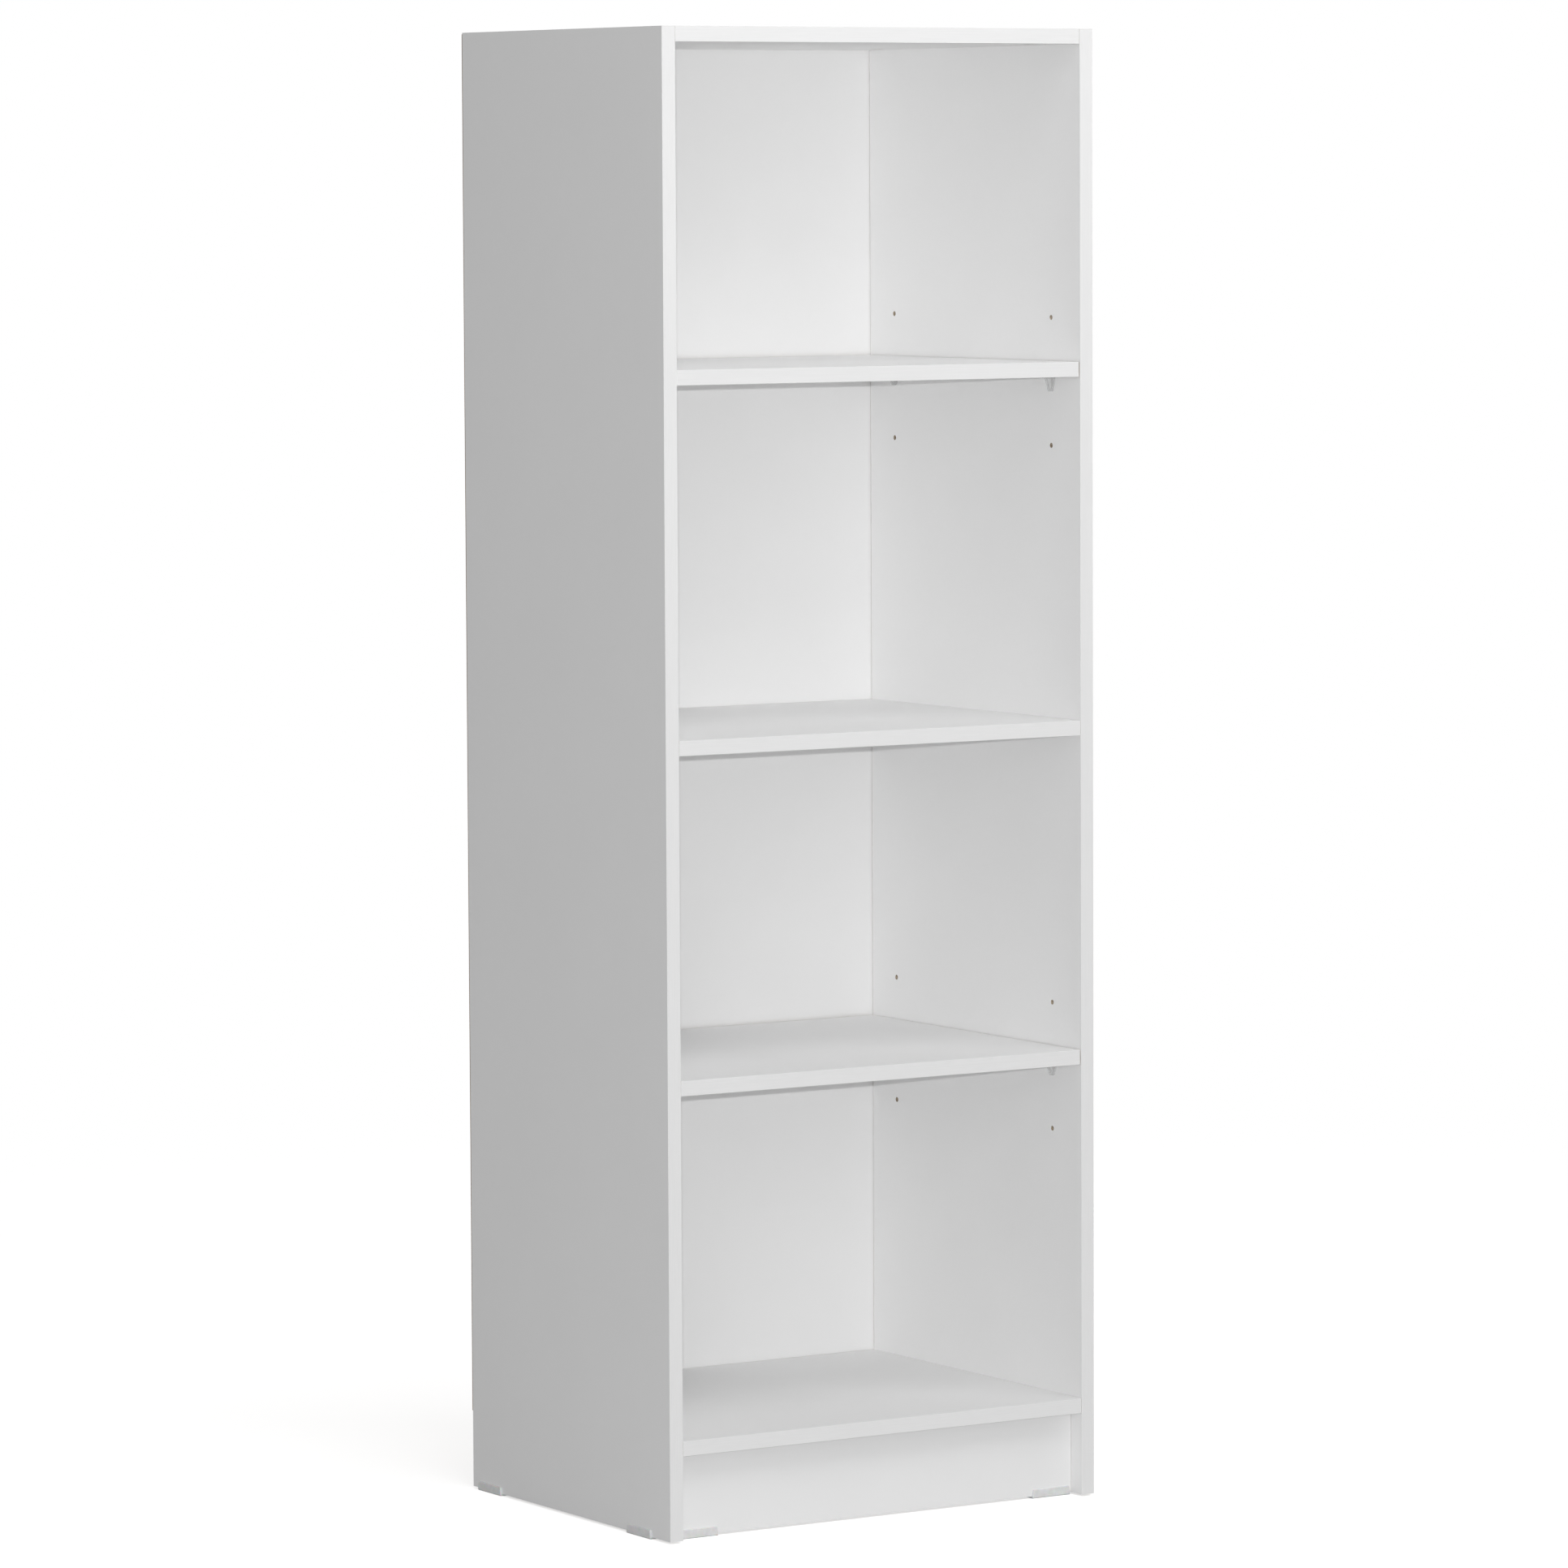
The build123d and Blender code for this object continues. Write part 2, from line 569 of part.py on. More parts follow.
# ---------------------------------------------------------------------------
# Shelf supports: a pin, a plate against the side panel, a ledge under the
# shelf and two tapering ribs under the ledge
# ---------------------------------------------------------------------------
def shelf_support(s, y, z_pin):
    z_top = z_pin + PIN_BELOW_SHELF - SUP_GAP
    x_wall = s * X_IN
    z_low = z_top - (SUP_DROP - SUP_GAP)
    wall = Plane(origin=(x_wall, y, 0), x_dir=(0, 1, 0), z_dir=(-s, 0, 0))
    up = 1 if wall.y_dir.Z > 0 else -1
    w, b = SUP_W / 2, SUP_W / 2 - 3.0
    with BuildPart() as support:
        # plate, narrower towards its lower end
        with BuildSketch(wall):
            with BuildLine():
                Polyline(
                    (-w, up * z_top),
                    (w, up * z_top),
                    (w, up * (z_top - 5.0)),
                    (b, up * (z_low + 1.5)),
                    (b - 1.5, up * z_low),
                    (-b + 1.5, up * z_low),
                    (-b, up * (z_low + 1.5)),
                    (-w, up * (z_top - 5.0)),
                    close=True,
                )
            make_face()
        extrude(amount=SUP_PLATE_T)
        # ledge with rounded outer corners
        with BuildSketch(Plane.XY.offset(z_top - SUP_LEDGE_T)):
            with BuildLine():
                x1 = s * (X_IN - SUP_OUT)
                r = 2.0
                xr = s * (X_IN - SUP_OUT + r)
                Polyline((xr, y - w), (x_wall, y - w), (x_wall, y + w), (xr, y + w))
                Line((xr, y + w), (x1, y + w - r))
                Line((x1, y + w - r), (x1, y - w + r))
                Line((x1, y - w + r), (xr, y - w))
            make_face()
        extrude(amount=SUP_LEDGE_T)
        # ribs
        for k in (-1, 1):
            y_rib = y + k * SUP_RIB_SPACING / 2 - SUP_RIB_T / 2
            rib = Plane(origin=(0, y_rib, 0), x_dir=(1, 0, 0), z_dir=(0, 1, 0))
            v = 1 if rib.y_dir.Z > 0 else -1
            with BuildSketch(rib):
                with BuildLine():
                    Polyline(
                        (x_wall, v * (z_top - 0.5)),
                        (s * (X_IN - SUP_OUT + 0.7), v * (z_top - 0.5)),
                        (s * (X_IN - SUP_OUT + 0.7), v * (z_top - SUP_LEDGE_T - 0.8)),
                        (s * (X_IN - SUP_PLATE_T), v * (z_low + 0.8)),
                        (x_wall, v * (z_low + 0.8)),
                        close=True,
                    )
                make_face()
            extrude(amount=SUP_RIB_T)
        # pin
        with BuildSketch(Plane(origin=(x_wall, y, z_pin), z_dir=(s, 0, 0))):
            Circle(SUP_PIN_D / 2)
        extrude(amount=SUP_PIN_L)
        chamfer(support.faces().sort_by(Axis((x_wall, y, z_pin), (s, 0, 0)))[-1].edges(), 0.5)
    return support


for row, z_pin in PIN_Z.items():
    for s, side_name in ((-1, "left"), (1, "right")):
        for y, place in zip(PIN_Y, ("front", "rear")):
            support = shelf_support(s, y, z_pin)
            save(support.part, f"{row}_{place}_{side_name}_shelf_support")

for name, count, volume in written:
    print(name, count, volume)
print("nodes", len(written))
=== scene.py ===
"""Looks of the flat-pack bookcase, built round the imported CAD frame. Metres."""
import math

import bpy
from mathutils import Matrix, Vector


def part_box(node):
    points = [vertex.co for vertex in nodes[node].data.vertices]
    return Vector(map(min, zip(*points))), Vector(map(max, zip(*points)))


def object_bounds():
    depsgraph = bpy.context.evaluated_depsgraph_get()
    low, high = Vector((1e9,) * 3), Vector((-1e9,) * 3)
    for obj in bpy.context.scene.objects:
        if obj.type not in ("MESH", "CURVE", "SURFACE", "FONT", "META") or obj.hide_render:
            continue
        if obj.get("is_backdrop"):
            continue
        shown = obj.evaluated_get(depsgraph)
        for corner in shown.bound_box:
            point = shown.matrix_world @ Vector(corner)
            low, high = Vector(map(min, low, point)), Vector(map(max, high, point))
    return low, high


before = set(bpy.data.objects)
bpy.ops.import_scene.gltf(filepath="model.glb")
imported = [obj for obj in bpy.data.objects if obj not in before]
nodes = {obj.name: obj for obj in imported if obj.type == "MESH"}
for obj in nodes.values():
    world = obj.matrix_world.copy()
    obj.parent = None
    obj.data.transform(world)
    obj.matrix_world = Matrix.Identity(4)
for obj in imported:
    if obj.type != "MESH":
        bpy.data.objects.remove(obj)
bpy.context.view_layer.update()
scene = bpy.context.scene

FRONT_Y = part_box("left_side_front_edge_band")[0].y      # front plane of the case
PANEL_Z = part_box("left_side_panel")[0].z                # bottom edge of the sides

# ---------------------------------------------------------------------------
# Camera. Position and axes were solved in a frame with X at the middle of the
# case, Y at its front plane and Z at the bottom edge of the side panels.
# ---------------------------------------------------------------------------
RIGHT = Vector((0.8465403, -0.53230506, -0.00456593)).normalized()
FORWARD = Vector((0.53028102, 0.84401023, -0.08030426)).normalized()
UP = RIGHT.cross(FORWARD).normalized()
RIGHT = FORWARD.cross(UP).normalized()
CAM_POS = Vector((-4.03659874, -6.24097937 + FRONT_Y, 1.32856008 + PANEL_Z))
FOCAL_PX = 9342.594

cam_data = bpy.data.cameras.new("camera")
cam_data.sensor_fit = "AUTO"
cam_data.sensor_width = 36.0
cam_data.lens = FOCAL_PX / 1932.0 * 36.0
cam_data.clip_start = 0.1
cam_data.clip_end = 100.0
camera = bpy.data.objects.new("camera", cam_data)
scene.collection.objects.link(camera)
rot = Matrix((RIGHT, UP, -FORWARD)).transposed()
camera.matrix_world = Matrix.Translation(CAM_POS) @ rot.to_4x4()
scene.camera = camera

scene.view_settings.view_transform = "Standard"
scene.view_settings.look = "None"
scene.view_settings.exposure = 0.0
scene.view_settings.gamma = 1.0
scene.cycles.max_bounces = 18
scene.cycles.diffuse_bounces = 14
scene.cycles.glossy_bounces = 6
scene.cycles.transmission_bounces = 12


# ---------------------------------------------------------------------------
# Light: a small source just above the lens, broad soft ones high in front and
# beside the camera, two weak ones for the sides and the rear, a dim surround
# ---------------------------------------------------------------------------
L_FLASH = 180.5
L_HIGH_LEFT = 17.7
L_HIGH_RIGHT = 16.9
L_BESIDE = 20.0
L_REAR = 24.0
L_RIGHT = 12.0
L_WORLD = 0.30
L_SKY = 1.0
FLOOR_GLOW = 0.62
FLOOR_BOUNCE = 0.6

TARGET = Vector((0.0, 0.0, 0.80))


def area(name, pos, target, size, energy, size_y=None):
    d = bpy.data.lights.new(name, "AREA")
    d.shape = "RECTANGLE"
    d.size = size
    d.size_y = size_y or size
    d.energy = energy
    o = bpy.data.objects.new(name, d)
    scene.collection.objects.link(o)
    o.matrix_world = (
        Matrix.Translation(pos) @ (target - pos).to_track_quat("-Z", "Y").to_matrix().to_4x4()
    )
    return o


area("flash", CAM_POS + UP * 0.081, TARGET, 0.05, L_FLASH, 0.03)
area("soft_high_left", Vector((-0.3, -1.8, 3.0)), TARGET, 1.6, L_HIGH_LEFT)
area("soft_high_right", Vector((1.3, -2.0, 2.8)), TARGET, 1.4, L_HIGH_RIGHT)
area("soft_beside_camera", Vector((-2.5, -4.0, 2.2)), TARGET, 1.5, L_BESIDE)
area("soft_rear", Vector((2.6, 3.4, 2.4)), TARGET, 2.4, L_REAR, 2.0)
area("soft_right", Vector((4.2, -1.2, 1.8)), TARGET, 2.0, L_RIGHT, 2.0)

world = bpy.data.worlds.new("surround")
scene.world = world
world.use_nodes = True
wt = world.node_tree
wt.nodes.clear()
w_out = wt.nodes.new("ShaderNodeOutputWorld")
w_mix = wt.nodes.new("ShaderNodeMixShader")
w_path = wt.nodes.new("ShaderNodeLightPath")
w_dim = wt.nodes.new("ShaderNodeBackground")
w_dim.inputs["Color"].default_value = (1, 1, 1, 1)
w_dim.inputs["Strength"].default_value = L_WORLD
w_sky = wt.nodes.new("ShaderNodeBackground")
w_sky.inputs["Color"].default_value = (1, 1, 1, 1)
w_sky.inputs["Strength"].default_value = L_SKY
wt.links.new(w_path.outputs["Is Camera Ray"], w_mix.inputs[0])
wt.links.new(w_dim.outputs[0], w_mix.inputs[1])
wt.links.new(w_sky.outputs[0], w_mix.inputs[2])
wt.links.new(w_mix.outputs[0], w_out.inputs[0])


# ---------------------------------------------------------------------------
# Node helpers
# ---------------------------------------------------------------------------
class Mat:
    """A material's node tree with short calls for the nodes used here. Object
    coordinates are metres in the part's frame."""

    def __init__(self, name, roughness, **constants):
        self.m = bpy.data.materials.new(name)
        self.m.use_nodes = True
        self.t = self.m.node_tree
        self.t.nodes.clear()
        self.out = self.t.nodes.new("ShaderNodeOutputMaterial")
        self.p = self.t.nodes.new("ShaderNodeBsdfPrincipled")
        self.p.inputs["Roughness"].default_value = roughness
        for k, v in constants.items():
            self.p.inputs[k.replace("_", " ")].default_value = v
        self.t.links.new(self.p.outputs[0], self.out.inputs[0])
        tc = self.t.nodes.new("ShaderNodeTexCoord")
        self.co = tc.outputs["Object"]
        self._xyz = None

    def link(self, a, b):
        self.t.links.new(a, b)

    def put(self, socket, value):
        if hasattr(value, "is_output"):
            self.t.links.new(value, socket)
        else:
            socket.default_value = value

    def xyz(self):
        if self._xyz is None:
            s = self.t.nodes.new("ShaderNodeSeparateXYZ")
            self.link(self.co, s.inputs[0])
            self._xyz = s.outputs
        return self._xyz

    def math(self, op, a, b=0.0, c=0.0, clamp=False):
        n = self.t.nodes.new("ShaderNodeMath")
        n.operation = op
        n.use_clamp = clamp
        for s, v in zip(n.inputs, (a, b, c)):
            self.put(s, v)
        return n.outputs[0]

    def scaled(self, sx, sy, sz):
        n = self.t.nodes.new("ShaderNodeMapping")
        n.inputs["Scale"].default_value = (sx, sy, sz)
        self.link(self.co, n.inputs["Vector"])
        return n.outputs[0]

    def noise(self, scale, detail=2.0, rough=0.5, distortion=0.0, vector=None):
        n = self.t.nodes.new("ShaderNodeTexNoise")
        n.inputs["Scale"].default_value = scale
        n.inputs["Detail"].default_value = detail
        n.inputs["Roughness"].default_value = rough
        n.inputs["Distortion"].default_value = distortion
        self.link(vector or self.co, n.inputs["Vector"])
        return n.outputs["Fac"]

    def cells(self, scale, vector=None, colour=False, randomness=1.0):
        n = self.t.nodes.new("ShaderNodeTexVoronoi")
        n.inputs["Scale"].default_value = scale
        n.inputs["Randomness"].default_value = randomness
        self.link(vector or self.co, n.inputs["Vector"])
        return n.outputs["Color" if colour else "Distance"]

    def ramp(self, fac, stops):
        n = self.t.nodes.new("ShaderNodeValToRGB")
        e = n.color_ramp.elements
        while len(e) < len(stops):
            e.new(0.5)
        for el, (pos, col) in zip(e, stops):
            el.position = pos
            el.color = (*col, 1.0) if len(col) == 3 else col
        self.link(fac, n.inputs[0])
        return n.outputs[0]

    def remap(self, v, a, b, c, d):
        n = self.t.nodes.new("ShaderNodeMapRange")
        self.put(n.inputs["Value"], v)
        for k, x in zip(("From Min", "From Max", "To Min", "To Max"), (a, b, c, d)):
            n.inputs[k].default_value = x
        return n.outputs[0]

    def mix(self, fac, a, b, how="MIX"):
        n = self.t.nodes.new("ShaderNodeMix")
        n.data_type = "RGBA"
        n.blend_type = how
        ins = [s for s in n.inputs if s.enabled]
        self.put(ins[0], fac)
        self.put(ins[1], a)
        self.put(ins[2], b)
        return [s for s in n.outputs if s.enabled][0]

    def bump(self, height, distance, strength=1.0, normal=None):
        n = self.t.nodes.new("ShaderNodeBump")
        n.inputs["Strength"].default_value = strength
        n.inputs["Distance"].default_value = distance
        self.link(height, n.inputs["Height"])
        if normal is not None:
            self.link(normal, n.inputs["Normal"])
        return n.outputs[0]

    def any_of(self, masks):
        v = masks[0]
        for m in masks[1:]:
            v = self.math("MAXIMUM", v, m)
        return v

    def near(self, axis, value, reach=0.00008):
        """1 where the coordinate is within reach of value, in metres."""
        return self.math(
            "LESS_THAN", self.math("ABSOLUTE", self.math("SUBTRACT", self.xyz()[axis], value)), reach
        )

    def bsdf(self, colour, roughness, normal):
        self.link(colour, self.p.inputs["Base Color"])
        self.link(roughness, self.p.inputs["Roughness"])
        self.link(normal, self.p.inputs["Normal"])
        return self.m


def rgb(r, g=None, b=None):
    return (r, r if g is None else g, r if b is None else b, 1.0)


def assign(name, material):
    o = nodes[name]
    o.data.materials.clear()
    o.data.materials.append(material)
    for p in o.data.polygons:
        p.material_index = 0


# ---------------------------------------------------------------------------
# White melamine on particleboard. The two faces are melamine; every other
# surface of the board (raw edges, hole walls) is the chip core.
# ---------------------------------------------------------------------------
WHITE = 0.885


def chip_core(m):
    """Colour and height of cut particleboard: fine flakes in a paler bond, with painted shade darkening the pits of
    the pores.
    """
    long_flakes = m.cells(430.0, m.scaled(1.0, 0.45, 1.0), colour=True)
    fine = m.cells(1150.0, colour=True)
    pick = m.t.nodes.new("ShaderNodeSeparateColor")
    m.link(long_flakes, pick.inputs[0])
    pick2 = m.t.nodes.new("ShaderNodeSeparateColor")
    m.link(fine, pick2.inputs[0])
    base = m.ramp(
        pick.outputs[0],
        [(0.0, (0.35, 0.29, 0.22)), (0.35, (0.50, 0.43, 0.34)), (0.7, (0.61, 0.54, 0.44)), (1.0, (0.71, 0.64, 0.54))],
    )
    grit = m.ramp(pick2.outputs[1], [(0.0, (0.72, 0.68, 0.62)), (1.0, (1.05, 1.02, 1.0))])
    colour = m.mix(1.0, base, grit, "MULTIPLY")
    pores = m.remap(m.noise(900.0, 3.0, 0.7), 0.3, 0.7, 0.0, 1.0)
    # painted shade: where the pore height is lowest, in the pits, the colour is darkened towards dark brown
    return m.mix(m.remap(pores, 0.0, 0.35, 0.45, 0.0), colour, rgb(0.17, 0.13, 0.09)), pores


def melamine_face(m, tone=WHITE):
    """Colour, roughness and height of the white foil: a fine pearl, very slight
    clouds of tone and a little handling haze."""
    pearl = m.noise(1500.0, 2.0, 0.55)
    orange = m.noise(420.0, 2.0, 0.5)
    cloud = m.noise(9.0, 3.0, 0.55)
    scuff = m.noise(26.0, 4.0, 0.6, 0.4)
    tint = m.mix(m.remap(cloud, 0.3, 0.7, 0.0, 1.0), rgb(tone * 0.988), rgb(tone))
    speck = m.remap(pearl, 0.25, 0.75, 0.985, 1.01)
    shade = m.t.nodes.new("ShaderNodeCombineColor")
    for s in shade.inputs[:3]:
        m.link(speck, s)
    colour = m.mix(1.0, tint, shade.outputs[0], "MULTIPLY")
    rough = m.math("ADD", m.remap(scuff, 0.3, 0.7, 0.50, 0.57), m.remap(pearl, 0.3, 0.7, -0.03, 0.03))
    height = m.math("ADD", m.math("MULTIPLY", pearl, 0.45), orange)
    return colour, rough, height


def board_material(name, axis, faces, raw_front=None):
    """axis is the one across the board, faces its two melamine planes."""
    m = Mat(name, 0.53, Specular_IOR_Level=0.5)
    white, rough, height = melamine_face(m)
    core, pores = chip_core(m)
    on_face = m.any_of([m.near(axis, v) for v in faces])
    # melamine on the two faces, the chip core everywhere else
    colour = m.mix(on_face, core, white)
    roughness = m.math("ADD", m.math("MULTIPLY", on_face, rough), m.math("MULTIPLY", m.math("SUBTRACT", 1.0, on_face), 0.86))
    foil = m.bump(height, 0.00001, 1.0)
    raw = m.bump(pores, 0.00018, 0.8)
    pick = m.t.nodes.new("ShaderNodeMix")
    pick.data_type = "VECTOR"
    ins = [s for s in pick.inputs if s.enabled]
    m.link(on_face, ins[0])
    m.link(raw, ins[1])
    m.link(foil, ins[2])
    return m.bsdf(colour, roughness, [s for s in pick.outputs if s.enabled][0])


for name in ("left_side_panel", "right_side_panel"):
    lo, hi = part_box(name)
    assign(name, board_material(name + "_melamine", 0, (lo.x, hi.x)))
for name in ("top_panel", "middle_shelf", "bottom_panel", "upper_shelf", "lower_shelf"):
    lo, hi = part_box(name)
    assign(name, board_material(name + "_melamine", 2, (lo.z, hi.z)))
lo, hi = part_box("plinth_panel")
assign("plinth_panel", board_material("plinth_melamine", 1, (lo.y, hi.y)))


# ---------------------------------------------------------------------------
# Edge band: a slightly brighter, slightly glossier strip with fine drawing
# marks along its length and a glue line at its rear edge
# ---------------------------------------------------------------------------
def band_material(name, run_axis, depth_axis, glue_at):
    m = Mat(name, 0.49, Specular_IOR_Level=0.5)
    stretch = [900.0, 900.0, 900.0]
    stretch[run_axis] = 25.0
    draw = m.noise(1.0, 3.0, 0.6, vector=m.scaled(*stretch))
    pearl = m.noise(1300.0, 2.0, 0.5)
    wave = m.noise(14.0, 2.0, 0.5)
    tone = m.mix(m.remap(draw, 0.3, 0.7, 0.0, 1.0), rgb(0.828), rgb(0.852))
    glue = m.near(depth_axis, glue_at, 0.00006)
    colour = m.mix(m.math("MULTIPLY", glue, 0.55), tone, rgb(0.55, 0.50, 0.42))
    worn = m.remap(wave, 0.35, 0.65, 0.46, 0.52)
    rough = m.math("ADD", worn, m.remap(draw, 0.3, 0.7, -0.03, 0.03))
    height = m.math("ADD", m.math("MULTIPLY", draw, 0.8), m.math("MULTIPLY", pearl, 0.5))
    return m.bsdf(colour, rough, m.bump(height, 0.000008, 1.0))


for side in ("left", "right"):
    n = side + "_side_front_edge_band"
    assign(n, band_material(n + "_strip", 2, 1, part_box(n)[1].y))
    n = side + "_side_top_edge_band"
    assign(n, band_material(n + "_strip", 1, 2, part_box(n)[0].z))
for n in ("top_panel_edge_band", "middle_shelf_edge_band", "bottom_panel_edge_band",
          "upper_shelf_edge_band", "lower_shelf_edge_band"):
    assign(n, band_material(n + "_strip", 0, 1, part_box(n)[1].y))


# ---------------------------------------------------------------------------
# Back panel: white lacquer on the front face, bare brown fibreboard behind
# ---------------------------------------------------------------------------
def hardboard():
    lo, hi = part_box("back_panel")
    m = Mat("back_panel_hardboard", 0.5, Specular_IOR_Level=0.45)
    front = m.near(1, lo.y)
    pearl = m.noise(1250.0, 2.0, 0.5)
    cloud = m.noise(7.0, 3.0, 0.55)
    roll = m.noise(60.0, 3.0, 0.6)
    white = m.mix(m.remap(cloud, 0.3, 0.7, 0.0, 1.0), rgb(0.868), rgb(0.882))
    fibres = m.noise(1.0, 4.0, 0.65, 0.6, m.scaled(1500.0, 400.0, 380.0))
    blotch = m.noise(12.0, 4.0, 0.6)
    brown = m.mix(m.remap(fibres, 0.3, 0.7, 0.0, 1.0), rgb(0.20, 0.115, 0.058), rgb(0.36, 0.225, 0.125))
    brown = m.mix(m.remap(blotch, 0.3, 0.7, 0.0, 0.35), brown, rgb(0.27, 0.165, 0.09))
    # the pressed screen pattern on the rough rear face
    xyz = m.xyz()
    screen = m.math(
        "MULTIPLY",
        m.math("SINE", m.math("MULTIPLY", xyz[0], 2 * math.pi / 0.0016)),
        m.math("SINE", m.math("MULTIPLY", xyz[2], 2 * math.pi / 0.0016)),
    )
    colour = m.mix(front, brown, white)
    rough = m.math("ADD", m.math("MULTIPLY", front, -0.31), m.remap(roll, 0.3, 0.7, 0.82, 0.88))
    smooth = m.bump(pearl, 0.000009, 1.0)
    coarse = m.bump(m.math("ADD", m.math("MULTIPLY", screen, 0.5), fibres), 0.00009, 0.8)
    pick = m.t.nodes.new("ShaderNodeMix")
    pick.data_type = "VECTOR"
    ins = [s for s in pick.inputs if s.enabled]
    m.link(front, ins[0])
    m.link(coarse, ins[1])
    m.link(smooth, ins[2])
    return m.bsdf(colour, rough, [s for s in pick.outputs if s.enabled][0])


assign("back_panel", hardboard())


# ---------------------------------------------------------------------------
# Metals
# ---------------------------------------------------------------------------
def metal(name, lo_c, hi_c, r0, r1, grain, depth):
    m = Mat(name, (r0 + r1) / 2, Metallic=1.0)
    cast = m.noise(grain, 4.0, 0.6)
    stain = m.noise(160.0, 3.0, 0.6)
    colour = m.mix(m.remap(stain, 0.3, 0.7, 0.0, 1.0), (*lo_c, 1.0), (*hi_c, 1.0))
    return m.bsdf(colour, m.remap(cast, 0.3, 0.7, r0, r1), m.bump(cast, depth, 0.8))


assign("cam_locks", metal("cam_zinc", (0.46, 0.47, 0.48), (0.58, 0.59, 0.60), 0.38, 0.55, 1400.0, 0.00005))
assign("cam_bolts", metal("bolt_plate", (0.60, 0.60, 0.57), (0.72, 0.72, 0.70), 0.22, 0.36, 1800.0, 0.00002))
assign("back_panel_nails", metal("nail_steel", (0.52, 0.52, 0.51), (0.66, 0.66, 0.65), 0.28, 0.44, 1600.0, 0.00003))


# ---------------------------------------------------------------------------
# Beech dowels: grain and flutes run along X
# ---------------------------------------------------------------------------
def beech():
    m = Mat("dowel_beech", 0.6)
    grain = m.noise(1.0, 4.0, 0.6, 0.3, m.scaled(60.0, 1300.0, 1300.0))
    rays = m.cells(1.0, m.scaled(240.0, 1500.0, 1500.0))
    colour = m.ramp(grain, [(0.3, (0.50, 0.33, 0.18)), (0.7, (0.70, 0.51, 0.31))])
    colour = m.mix(m.remap(rays, 0.0, 0.25, 0.5, 0.0), colour, rgb(0.40, 0.24, 0.12))
    return m.bsdf(colour, m.remap(grain, 0.3, 0.7, 0.52, 0.68), m.bump(grain, 0.00006, 0.8))


assign("wooden_dowels", beech())


# ---------------------------------------------------------------------------
# Plastics: milky glides and clear supports
# ---------------------------------------------------------------------------
def glide_plastic():
    m = Mat("glide_polyethylene", 0.42, Subsurface_Weight=0.4, Subsurface_Scale=0.002, IOR=1.5)
    cloud = m.noise(180.0, 3.0, 0.55)
    scuff = m.noise(900.0, 4.0, 0.7)
    worn = m.remap(m.xyz()[2], 0.0, 0.0016, 1.0, 0.0)
    clean = m.mix(m.remap(cloud, 0.3, 0.7, 0.0, 1.0), rgb(0.72, 0.725, 0.725), rgb(0.80, 0.805, 0.805))
    colour = m.mix(m.math("MULTIPLY", worn, 0.5), clean, rgb(0.55, 0.54, 0.52))
    rough = m.math("ADD", m.remap(scuff, 0.3, 0.7, 0.34, 0.46), m.math("MULTIPLY", worn, 0.2))
    return m.bsdf(colour, rough, m.bump(scuff, 0.00003, 0.8))


def clear_plastic():
    m = Mat("support_clear_moulding", 0.09, IOR=1.52, Alpha=0.48, Specular_IOR_Level=0.9,
            Coat_Weight=1.0, Coat_Roughness=0.05)
    flow = m.noise(140.0, 3.0, 0.6, 0.5)
    fine = m.noise(1500.0, 3.0, 0.6)
    colour = m.mix(m.remap(flow, 0.3, 0.7, 0.0, 1.0), rgb(0.90, 0.905, 0.905), rgb(0.97, 0.975, 0.975))
    rough = m.math("ADD", m.remap(flow, 0.3, 0.7, 0.05, 0.13), m.remap(fine, 0.3, 0.7, -0.01, 0.03))
    return m.bsdf(colour, rough, m.bump(flow, 0.00003, 0.5))


glide_mat = glide_plastic()
clear_mat = clear_plastic()
for n in nodes:
    if n.endswith("_glide"):
        assign(n, glide_mat)
    elif n.endswith("_shelf_support"):
        assign(n, clear_mat)


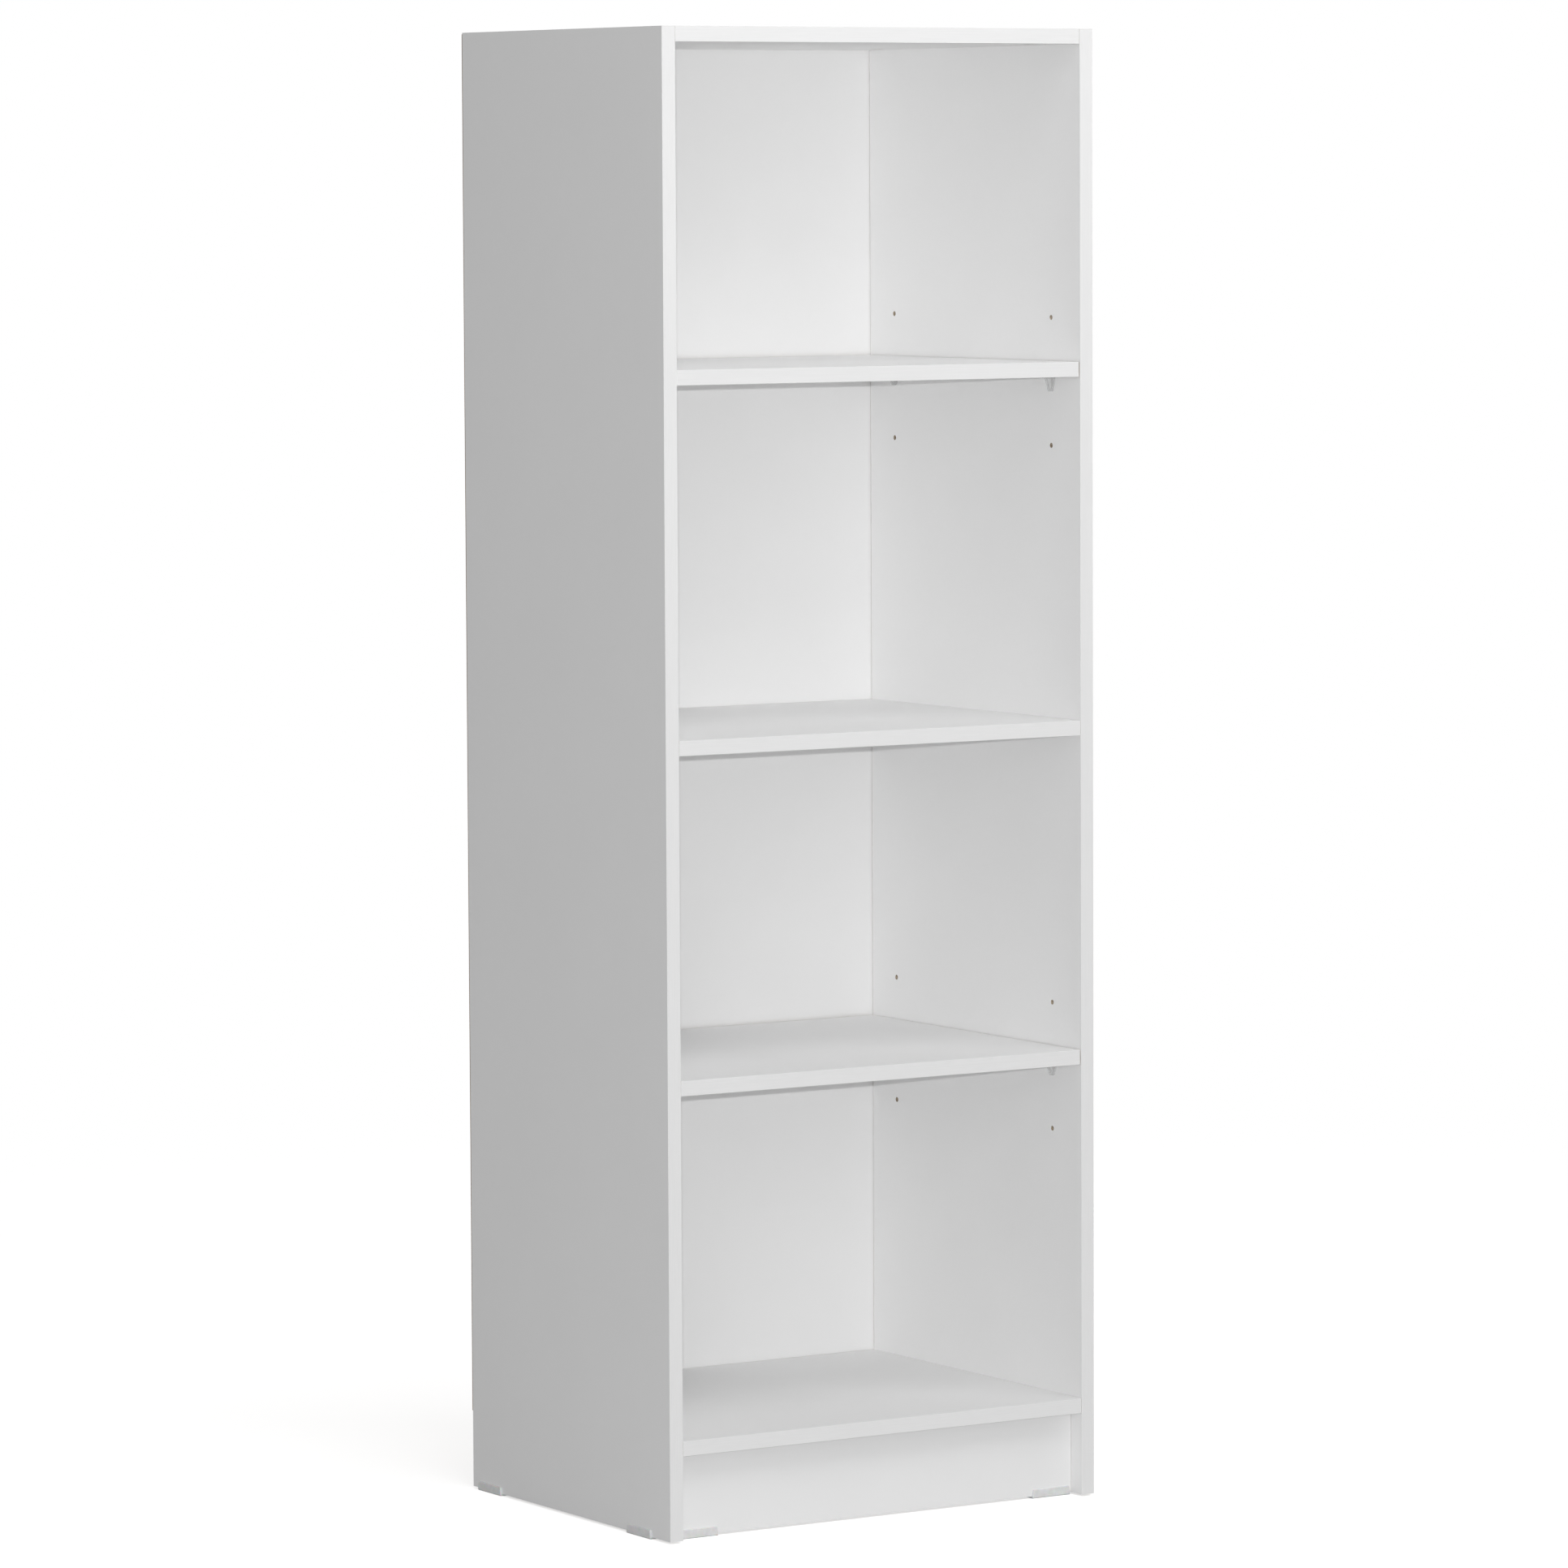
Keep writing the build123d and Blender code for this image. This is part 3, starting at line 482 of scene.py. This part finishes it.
# ---------------------------------------------------------------------------
# Floor: a plain pale disc that fades out to the surround
# ---------------------------------------------------------------------------
def make_floor():
    rings = [0.0, 0.6, 1.2, 2.0, 3.2]
    seg = 96
    verts, faces = [(0.0, 0.0, 0.0)], []
    for r in rings[1:]:
        for i in range(seg):
            a = 2 * math.pi * i / seg
            verts.append((r * math.cos(a), r * math.sin(a), 0.0))
    for i in range(seg):
        faces.append((0, 1 + i, 1 + (i + 1) % seg))
    for k in range(len(rings) - 2):
        b0, b1 = 1 + k * seg, 1 + (k + 1) * seg
        for i in range(seg):
            j = (i + 1) % seg
            faces.append((b0 + i, b1 + i, b1 + j, b0 + j))
    me = bpy.data.meshes.new("floor")
    me.from_pydata(verts, [], faces)
    o = bpy.data.objects.new("floor", me)
    scene.collection.objects.link(o)
    m = bpy.data.materials.new("floor_pale")
    m.use_nodes = True
    t = m.node_tree
    t.nodes.clear()
    out = t.nodes.new("ShaderNodeOutputMaterial")
    # seen directly it is pale; the light it throws back on the case is dimmer
    path = t.nodes.new("ShaderNodeLightPath")
    dif = t.nodes.new("ShaderNodeBsdfDiffuse")
    tone = t.nodes.new("ShaderNodeMapRange")
    tone.inputs["To Min"].default_value = FLOOR_BOUNCE
    tone.inputs["To Max"].default_value = 0.82
    t.links.new(path.outputs["Is Camera Ray"], tone.inputs["Value"])
    t.links.new(tone.outputs[0], dif.inputs["Color"])
    glow = t.nodes.new("ShaderNodeEmission")
    level = t.nodes.new("ShaderNodeMath")
    level.operation = "MULTIPLY"
    level.inputs[1].default_value = FLOOR_GLOW
    t.links.new(path.outputs["Is Camera Ray"], level.inputs[0])
    t.links.new(level.outputs[0], glow.inputs["Strength"])
    add = t.nodes.new("ShaderNodeAddShader")
    clear = t.nodes.new("ShaderNodeBsdfTransparent")
    mix = t.nodes.new("ShaderNodeMixShader")
    tc = t.nodes.new("ShaderNodeTexCoord")
    ln = t.nodes.new("ShaderNodeVectorMath")
    ln.operation = "LENGTH"
    fade = t.nodes.new("ShaderNodeMapRange")
    fade.interpolation_type = "SMOOTHSTEP"
    for k, v in zip(("From Min", "From Max", "To Min", "To Max"), (0.5, 3.0, 0.0, 1.0)):
        fade.inputs[k].default_value = v
    t.links.new(tc.outputs["Object"], ln.inputs[0])
    t.links.new(ln.outputs["Value"], fade.inputs["Value"])
    t.links.new(dif.outputs[0], add.inputs[0])
    t.links.new(glow.outputs[0], add.inputs[1])
    # clear from below, so that the underside can be looked at
    geo = t.nodes.new("ShaderNodeNewGeometry")
    gone = t.nodes.new("ShaderNodeMath")
    gone.operation = "MAXIMUM"
    t.links.new(fade.outputs[0], gone.inputs[0])
    t.links.new(geo.outputs["Backfacing"], gone.inputs[1])
    t.links.new(gone.outputs[0], mix.inputs[0])
    t.links.new(add.outputs[0], mix.inputs[1])
    t.links.new(clear.outputs[0], mix.inputs[2])
    t.links.new(mix.outputs[0], out.inputs[0])
    me.materials.append(m)
    o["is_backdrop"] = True
    return o


make_floor()

lo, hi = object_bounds()
